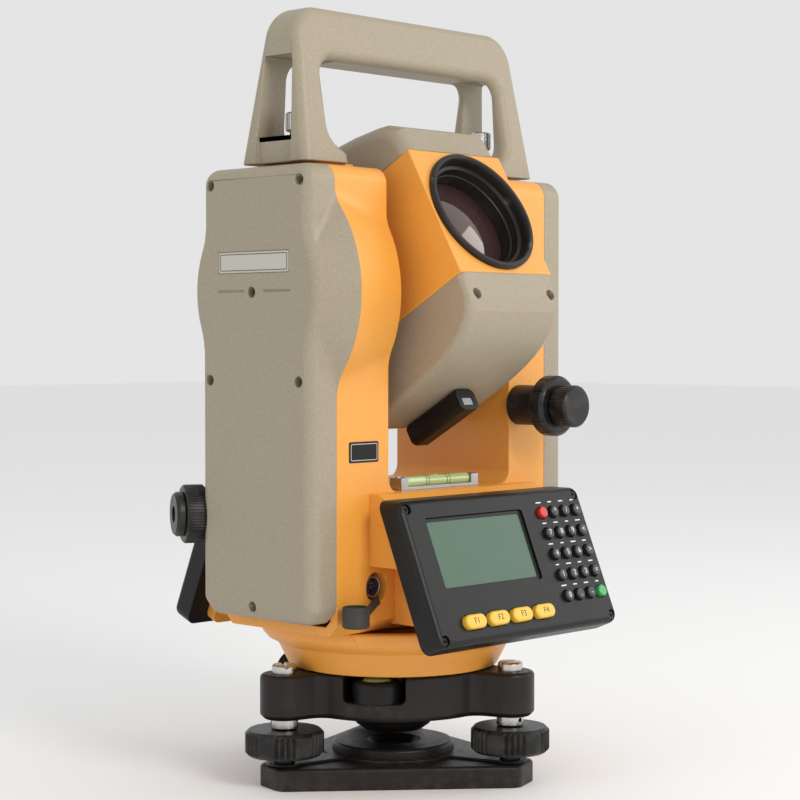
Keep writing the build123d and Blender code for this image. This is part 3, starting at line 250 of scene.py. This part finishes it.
ORANGE = orange_enamel()
GREY = grey_shell()
ANODISED = black_anodised()
BLACK = satin_black()
KNOB = knob_black()
RUBBER = black_rubber()
STEEL = bright_steel()
ALUMINIUM = milled_aluminium()
BRONZE = bearing_bronze()
SPIRIT = level_glass()
LENS = lens_glass()
LCD = display()
AMBER = key_plastic("key_amber", (0.83, 0.52, 0.05), (0.72, 0.42, 0.04))
RED = key_plastic("key_red", (0.62, 0.025, 0.02), (0.5, 0.02, 0.016))
GREEN = key_plastic("key_green", (0.05, 0.42, 0.12), (0.04, 0.34, 0.1))
DARK_KEY = key_plastic("key_dark", (0.012, 0.012, 0.013), (0.02, 0.02, 0.022))
WHITE_PRINT = printed("white_print", (0.78, 0.78, 0.76))
BROWN_PRINT = printed("brown_print", (0.11, 0.05, 0.02))
FROST = printed("frosted_window", (0.30, 0.31, 0.33), 0.3)
BUBBLE = printed("bubble", (0.72, 0.80, 0.50), 0.12)
SILVER_PLATE = printed("silver_plate", (0.52, 0.50, 0.45), 0.35)
BLUE_INSERT = key_plastic("blue_insert", (0.012, 0.015, 0.10), (0.008, 0.01, 0.06))

FINISH = {
    "orange_paint": ORANGE, "grey_shell": GREY, "black_anodised": ANODISED, "black_plastic": BLACK,
    "rubber_black": RUBBER, "steel": STEEL, "aluminium": ALUMINIUM, "bronze": BRONZE, "glass": LENS,
    "level_glass": SPIRIT, "lcd": LCD, "key_amber": AMBER, "key_red": RED, "key_green": GREEN,
    "key_dark": DARK_KEY,
}
GLOSSY_BLACK = ("case_screws", "telescope_screws", "vertical_clamp_ring", "vertical_tangent_knob",
                "horizontal_clamp_ring", "focus_ring", "horizontal_tangent_knob",
                "plummet_focus_ring", "plummet_eyepiece", "eyepiece", "tribrach_lock_knob",
                "foot_screw_1", "foot_screw_2", "foot_screw_3")


# ---------------------------------------------------------------- refined meshes of the CAD nodes
SHARP = math.radians(31)          # edges that turn more than this are bevelled
FLAT = math.radians(0.4)          # faces that turn less than this are merged
SHORTEST = 0.25 * MM              # shorter edges stay sharp
WELD = 2e-6


def refine(node, material, width):
    """Rounded visible mesh for a CAD node: flat areas merged, sharp edges bevelled, then smoothed."""
    mesh = nodes[node].data.copy()
    piece = bpy.data.objects.new(node + "_shell", mesh)
    bpy.context.scene.collection.objects.link(piece)
    bm = bmesh.new()
    bm.from_mesh(mesh)
    bmesh.ops.remove_doubles(bm, verts=bm.verts, dist=WELD)
    bmesh.ops.dissolve_limit(bm, angle_limit=FLAT, verts=bm.verts, edges=bm.edges)
    weight = bm.edges.layers.float.new("bevel_weight_edge")
    for edge in bm.edges:
        if len(edge.link_faces) == 2 and edge.calc_face_angle(0) > SHARP:
            edge[weight] = 1.0 if edge.calc_length() > SHORTEST else 0.0
    bm.to_mesh(mesh)
    bm.free()
    mesh.shade_smooth()
    mesh.set_sharp_from_angle(angle=SHARP)
    bevel = piece.modifiers.new("edge_rounding", "BEVEL")
    bevel.limit_method = "WEIGHT"
    bevel.width = width
    bevel.segments = 2
    bevel.use_clamp_overlap = False
    bevel.harden_normals = True
    normals = piece.modifiers.new("weighted_normals", "WEIGHTED_NORMAL")
    normals.keep_sharp = True
    mesh.materials.clear()
    mesh.materials.append(material)
    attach(piece, nodes[node]["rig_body"])
    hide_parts(node)


BEVEL_WIDTHS = {"handle": 0.4, "alidade_frame": 0.35, "telescope_body": 0.6, "base_plate": 0.4,
                "tribrach_body": 0.5, "lower_housing": 0.5}
USUAL_BEVEL = 0.2
for entry in frame["record"]["subparts"]:
    name, finish = entry["node"], entry["material_slot"]
    material = KNOB if name in GLOSSY_BLACK else FINISH[finish]
    refine(name, material, BEVEL_WIDTHS.get(name, USUAL_BEVEL) * MM)


# ---------------------------------------------------------------- small made pieces
def placement(origin, x_axis, z_axis):
    """Matrix that carries a piece drawn in XY, facing +Z, to its place on the object."""
    x, z = Vector(x_axis).normalized(), Vector(z_axis).normalized()
    matrix = Matrix((x, z.cross(x), z)).transposed().to_4x4()
    matrix.translation = Vector(origin)
    return matrix


def finish_piece(bm, name, body, material, bevel=0.0):
    """Turns a bmesh into a smooth, bevelled piece that rides on a body."""
    bmesh.ops.recalc_face_normals(bm, faces=bm.faces)
    mesh = bpy.data.meshes.new(name)
    bm.to_mesh(mesh)
    bm.free()
    mesh.shade_smooth()
    mesh.set_sharp_from_angle(angle=SHARP)
    mesh.materials.append(material)
    piece = bpy.data.objects.new(name, mesh)
    bpy.context.scene.collection.objects.link(piece)
    if bevel:
        rounding = piece.modifiers.new("edge_rounding", "BEVEL")
        rounding.width = bevel
        rounding.segments = 2
        rounding.limit_method = "ANGLE"
        rounding.angle_limit = SHARP
        rounding.harden_normals = True
    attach(piece, body)


def rounded_outline(width, height, radius, steps=6):
    """Corner points of a rounded rectangle about the origin, anticlockwise."""
    points = []
    for corner in range(4):
        turn = corner * math.pi / 2
        cx = (width / 2 - radius) * (1 if corner in (0, 3) else -1)
        cy = (height / 2 - radius) * (1 if corner in (0, 1) else -1)
        for step in range(steps + 1):
            angle = turn + step / steps * math.pi / 2
            points.append((cx + radius * math.cos(angle), cy + radius * math.sin(angle)))
    return points


def add_prism(bm, outline, low, high, matrix):
    """Closed prism of an outline between two heights, put into a bmesh."""
    bottom = [bm.verts.new(matrix @ Vector((x, y, low))) for x, y in outline]
    top = [bm.verts.new(matrix @ Vector((x, y, high))) for x, y in outline]
    bm.faces.new(bottom[::-1])
    bm.faces.new(top)
    for i in range(len(outline)):
        j = (i + 1) % len(outline)
        bm.faces.new((bottom[i], bottom[j], top[j], top[i]))


def add_border(bm, outer, inner, low, high, matrix):
    """Closed raised frame between two outlines and two heights, put into a bmesh."""
    rings = [[bm.verts.new(matrix @ Vector((x, y, z))) for x, y in outline]
             for outline, z in ((outer, low), (outer, high), (inner, high), (inner, low))]
    for a, b in zip(rings, rings[1:] + rings[:1]):
        for i in range(len(a)):
            j = (i + 1) % len(a)
            bm.faces.new((a[i], a[j], b[j], b[i]))


def add_turned(bm, profile, matrix, steps=48):
    """Closed lathe piece from (radius, height) points, put into a bmesh."""
    rings = []
    for radius, height in profile:
        if radius < 1e-7:
            rings.append([bm.verts.new(matrix @ Vector((0, 0, height)))])
            continue
        rings.append([bm.verts.new(matrix @ Vector((radius * math.cos(a), radius * math.sin(a), height)))
                      for a in (math.tau * i / steps for i in range(steps))])
    for lower, upper in zip(rings, rings[1:]):
        for i in range(steps):
            j = (i + 1) % steps
            ends = [lower[i % len(lower)], lower[j % len(lower)], upper[j % len(upper)],
                    upper[i % len(upper)]]
            bm.faces.new(list(dict.fromkeys(ends)))
    if len(rings[0]) > 1:
        bm.faces.new(rings[0][::-1])
    if len(rings[-1]) > 1:
        bm.faces.new(rings[-1])


PRINT_RISE = 0.06 * MM


def add_text(bm, words, size, matrix):
    """Printed characters, centred on the matrix's origin and raised a hair above the surface."""
    curve = bpy.data.curves.new("print", "FONT")
    curve.body = words
    curve.size = size
    curve.align_x = "CENTER"
    curve.align_y = "CENTER"
    curve.extrude = PRINT_RISE
    holder = bpy.data.objects.new("print", curve)
    made = bpy.data.meshes.new_from_object(holder)
    made.transform(matrix)
    bm.from_mesh(made)
    bpy.data.objects.remove(holder)
    bpy.data.meshes.remove(made)


# ---------------------------------------------------------------- panels: display and legends
TILT = math.radians(22.8)         # each panel's face leans back by this from upright
PANELS = {
    "front": placement((0, -56 * MM, 126 * MM), (1, 0, 0), (0, -math.cos(TILT), math.sin(TILT))),
    "rear": placement((0, 56 * MM, 126 * MM), (-1, 0, 0), (0, math.cos(TILT), math.sin(TILT))),
}
F_KEYS_X = (-32.6, -18.0, -3.3, 11.3)
F_KEYS_V = -53.0
F_KEY_RISE = 2.5
PAD_X, PAD_PITCH, PAD_V, PAD_ROW = 30.4, 7.6, -10.2, -9.43
PAD_RISE = 2.0
PAD_LEGENDS = "*/+789<456>123=0.-"
DASH_WIDTHS = (3.4, 2.6, 3.0, 2.2)
DISPLAY_X, DISPLAY_V = -12.35, -23.25


def at(panel, x, v, height=0.0):
    """Matrix on a panel's face: x along the key rows, v up the slope, height out of the face."""
    return PANELS[panel] @ Matrix.Translation((x * MM, v * MM, height * MM))


def display_gasket(side):
    """Dark gasket round the display glass."""
    bm = bmesh.new()
    outer = rounded_outline(61.0 * MM, 31.2 * MM, 1.3 * MM)
    inner = rounded_outline(58.2 * MM, 28.4 * MM, 1.0 * MM)
    add_border(bm, outer, inner, -1.42 * MM, -1.0 * MM, at(side, DISPLAY_X, DISPLAY_V))
    finish_piece(bm, side + "_screen_gasket", "alidade", BLACK, 0.1 * MM)


def key_legends(side):
    """White figures on the round keys, brown ones on the function keys, dashes above the rows."""
    numbers = bmesh.new()
    dashes = bmesh.new()
    spots = [(row, column) for row in range(5) for column in range(4)][1:-1]
    for (row, column), figure in zip(spots, PAD_LEGENDS):
        x, v = PAD_X + PAD_PITCH * column, PAD_V + PAD_ROW * row
        add_text(numbers, figure, 3.3 * MM, at(side, x, v, PAD_RISE))
    for row in range(5):
        for column in range(4):
            x, v = PAD_X + PAD_PITCH * column, PAD_V + PAD_ROW * (row - 0.5)
            width = DASH_WIDTHS[(row + column) % 4] * MM
            add_prism(dashes, rounded_outline(width, 0.55 * MM, 0.2 * MM, 3), 0, PRINT_RISE,
                      at(side, x, v))
    finish_piece(numbers, side + "_number_figures", side + "_number_keys", WHITE_PRINT)
    finish_piece(dashes, side + "_key_dashes", "alidade", WHITE_PRINT)
    for index, x in enumerate(F_KEYS_X, start=1):
        bm = bmesh.new()
        add_text(bm, f"F{index}", 3.6 * MM, at(side, x, F_KEYS_V, F_KEY_RISE))
        body = f"front_f{index}_key" if side == "front" else "rear_f_keys"
        finish_piece(bm, f"{side}_f{index}_figure", body, BROWN_PRINT)


for side in PANELS:
    display_gasket(side)
    key_legends(side)


# ---------------------------------------------------------------- plates, marks, levels, socket
def blank_plate(name, matrix, width, height, material, border):
    """Blank plate with a raised border line."""
    bm = bmesh.new()
    add_prism(bm, rounded_outline(width, height, 0.8 * MM), 0, 0.35 * MM, matrix)
    finish_piece(bm, name, "alidade", material, 0.12 * MM)
    line = bmesh.new()
    outer = rounded_outline(width - 1.6 * MM, height - 1.6 * MM, 0.6 * MM)
    inner = rounded_outline(width - 2.2 * MM, height - 2.2 * MM, 0.4 * MM)
    add_border(line, outer, inner, 0.3 * MM, 0.42 * MM, matrix)
    finish_piece(line, name + "_border", "alidade", border)


PLATE_HEIGHT = 8.6 * MM
left_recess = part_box("left_cover")[0].x + 0.55 * MM
left_spot = placement((left_recess, 0.5 * MM, 223.9 * MM), (0, -1, 0), (-1, 0, 0))
front_spot = placement((-53.5 * MM, -34.5 * MM, 145.6 * MM), (1, 0, 0), (0, -1, 0))
blank_plate("left_blank_plate", left_spot, 42.4 * MM, PLATE_HEIGHT, SILVER_PLATE,
            BROWN_PRINT)
blank_plate("front_blank_plate", front_spot, 17 * MM, PLATE_HEIGHT, BLACK,
            SILVER_PLATE)


def index_mark():
    """Small raised triangle on the rim of the lower housing."""
    bearing = math.radians(206.6)
    out = Vector((math.cos(bearing), math.sin(bearing), 0))
    matrix = placement(out * 58.2 * MM + Vector((0, 0, 65.9 * MM)), (-out.y, out.x, 0), out)
    bm = bmesh.new()
    add_prism(bm, [(-1.6 * MM, 0), (1.6 * MM, 0), (0, 2.5 * MM)], 0, 0.6 * MM, matrix)
    finish_piece(bm, "index_mark", "tribrach", ORANGE, 0.1 * MM)


def plate_level():
    """Bubble and graduation rings of the tubular level."""
    vial_low, vial_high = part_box("plate_level_vial")
    centre = (vial_low + vial_high) / 2
    radius = (vial_high.z - vial_low.z) / 2
    matrix = placement(centre, (0, 1, 0), (1, 0, 0))
    bm = bmesh.new()
    half = 5.2 * MM
    profile = [(1.9 * MM * math.sin(math.pi * i / 12), -half * math.cos(math.pi * i / 12))
               for i in range(13)]
    profile[0], profile[-1] = (0, -half), (0, half)
    add_turned(bm, profile, Matrix.Translation((0, 0, 0.72 * MM)) @ matrix, 32)
    finish_piece(bm, "plate_level_bubble", "alidade", BUBBLE)
    rings = bmesh.new()
    inside, outside = radius - 0.1 * MM, radius + 0.05 * MM
    for offset in (-7.4, -5.6, 5.6, 7.4):
        low, high = (offset - 0.15) * MM, (offset + 0.15) * MM
        add_turned(rings, [(inside, low), (outside, low), (outside, high), (inside, high)], matrix, 40)
    finish_piece(rings, "plate_level_rings", "alidade", BLACK)


def circular_level():
    """Bubble under the glass of the circular level."""
    low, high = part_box("circular_level_vial")
    centre = Vector(((low.x + high.x) / 2, (low.y + high.y) / 2, high.z - 0.15 * MM))
    matrix = Matrix.Translation(centre)
    bm = bmesh.new()
    add_turned(bm, [(0, -0.5 * MM), (1.9 * MM, -0.45 * MM), (2.1 * MM, -0.2 * MM), (1.6 * MM, 0.02 * MM),
                    (0, 0.1 * MM)], matrix, 32)
    finish_piece(bm, "circular_level_bubble", "tribrach", BUBBLE)


def socket_details():
    """Blue insulator behind the metal shell, with six contact pins round a middle one."""
    low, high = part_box("data_socket")
    centre = (low + high) / 2
    matrix = placement((centre.x, low.y, centre.z), (1, 0, 0), (0, -1, 0))
    bm = bmesh.new()
    add_turned(bm, [(0, -5.9 * MM), (3.6 * MM, -5.9 * MM), (3.6 * MM, -3.6 * MM), (3.2 * MM, -3.3 * MM),
                    (0, -3.3 * MM)], matrix, 40)
    finish_piece(bm, "socket_insert", "alidade", BLUE_INSERT, 0.1 * MM)
    pins = bmesh.new()
    outer_pins = 6
    for i in range(outer_pins + 1):
        angle = math.tau * i / outer_pins
        reach = 2.0 * MM if i < outer_pins else 0
        spot = matrix @ Matrix.Translation((reach * math.cos(angle), reach * math.sin(angle), 0))
        add_turned(pins, [(0.38 * MM, -3.4 * MM), (0.38 * MM, -1.9 * MM), (0.25 * MM, -1.6 * MM),
                          (0, -1.5 * MM)], spot, 16)
    finish_piece(pins, "socket_pins", "alidade", BRONZE)


def collimator_windows():
    """Grey frosted windows at the front of the two sighting collimators."""
    elevation = math.radians(30)
    sight = Vector((0, -math.cos(elevation), math.sin(elevation)))
    up = Vector((0, math.sin(elevation), math.cos(elevation)))
    trunnion = Vector((0, 0, 216 * MM))
    bm = bmesh.new()
    for rise in (-65.8 * MM, 62.8 * MM):
        origin = trunnion + sight * 12.5 * MM + up * rise
        add_prism(bm, rounded_outline(6.2 * MM, 3.4 * MM, 0.3 * MM, 3), 0, 0.45 * MM,
                  placement(origin, (1, 0, 0), sight))
    finish_piece(bm, "sight_windows", "telescope", FROST, 0.1 * MM)


index_mark()
plate_level()
circular_level()
socket_details()
collimator_windows()


# ---------------------------------------------------------------- floor, light and camera
def stage_floor():
    """Pale floor, 12 m square."""
    bpy.ops.mesh.primitive_plane_add(size=12)
    floor = bpy.context.active_object
    floor.name = "studio_floor"
    floor.data.materials.append(studio_floor())


def soft_light(name, place, target, size, power, colour=(1, 1, 1)):
    """Area light aimed at a target."""
    data = bpy.data.lights.new(name, "AREA")
    data.shape = "RECTANGLE"
    data.size, data.size_y = size
    data.energy = power
    data.color = colour
    light = bpy.data.objects.new(name, data)
    bpy.context.scene.collection.objects.link(light)
    light.location = place
    light.rotation_euler = (Vector(target) - Vector(place)).to_track_quat("-Z", "Y").to_euler()


def studio():
    """White surroundings and three soft lights round the object."""
    world = bpy.data.worlds.new("studio")
    world.use_nodes = True
    background = world.node_tree.nodes["Background"].inputs
    background["Color"].default_value = (1, 1, 1, 1)
    background["Strength"].default_value = 0.78
    bpy.context.scene.world = world
    bpy.context.scene.view_settings.view_transform = "Standard"
    middle = (0, 0, 0.17)
    soft_light("key", (-0.25, -1.35, 0.9), middle, (0.5, 0.5), 10, (1.0, 0.97, 0.92))
    soft_light("fill", (-1.4, 0.1, 0.5), middle, (0.9, 0.9), 1)
    soft_light("rim", (1.0, -0.7, 0.6), middle, (0.5, 0.9), 3)


def photo_camera():
    """Camera at the viewing angle of the product shot: low, in front of the left standard."""
    forward = Vector((0.724, 0.690, 0)).normalized()
    right = Vector((0.690, -0.724, 0)).normalized()
    distance, sideways, eye = 0.890, 0.0031, 0.193
    pitch = math.atan(63 / 2010)
    data = bpy.data.cameras.new("camera")
    data.sensor_width = 36
    data.lens = 90.45
    data.clip_start = 0.01
    camera = bpy.data.objects.new("camera", data)
    bpy.context.scene.collection.objects.link(camera)
    camera.location = -forward * distance + right * sideways + Vector((0, 0, eye))
    aim = forward * math.cos(pitch) - Vector((0, 0, 1)) * math.sin(pitch)
    camera.rotation_euler = aim.to_track_quat("-Z", "Y").to_euler()
    bpy.context.scene.camera = camera


stage_floor()
studio()
photo_camera()
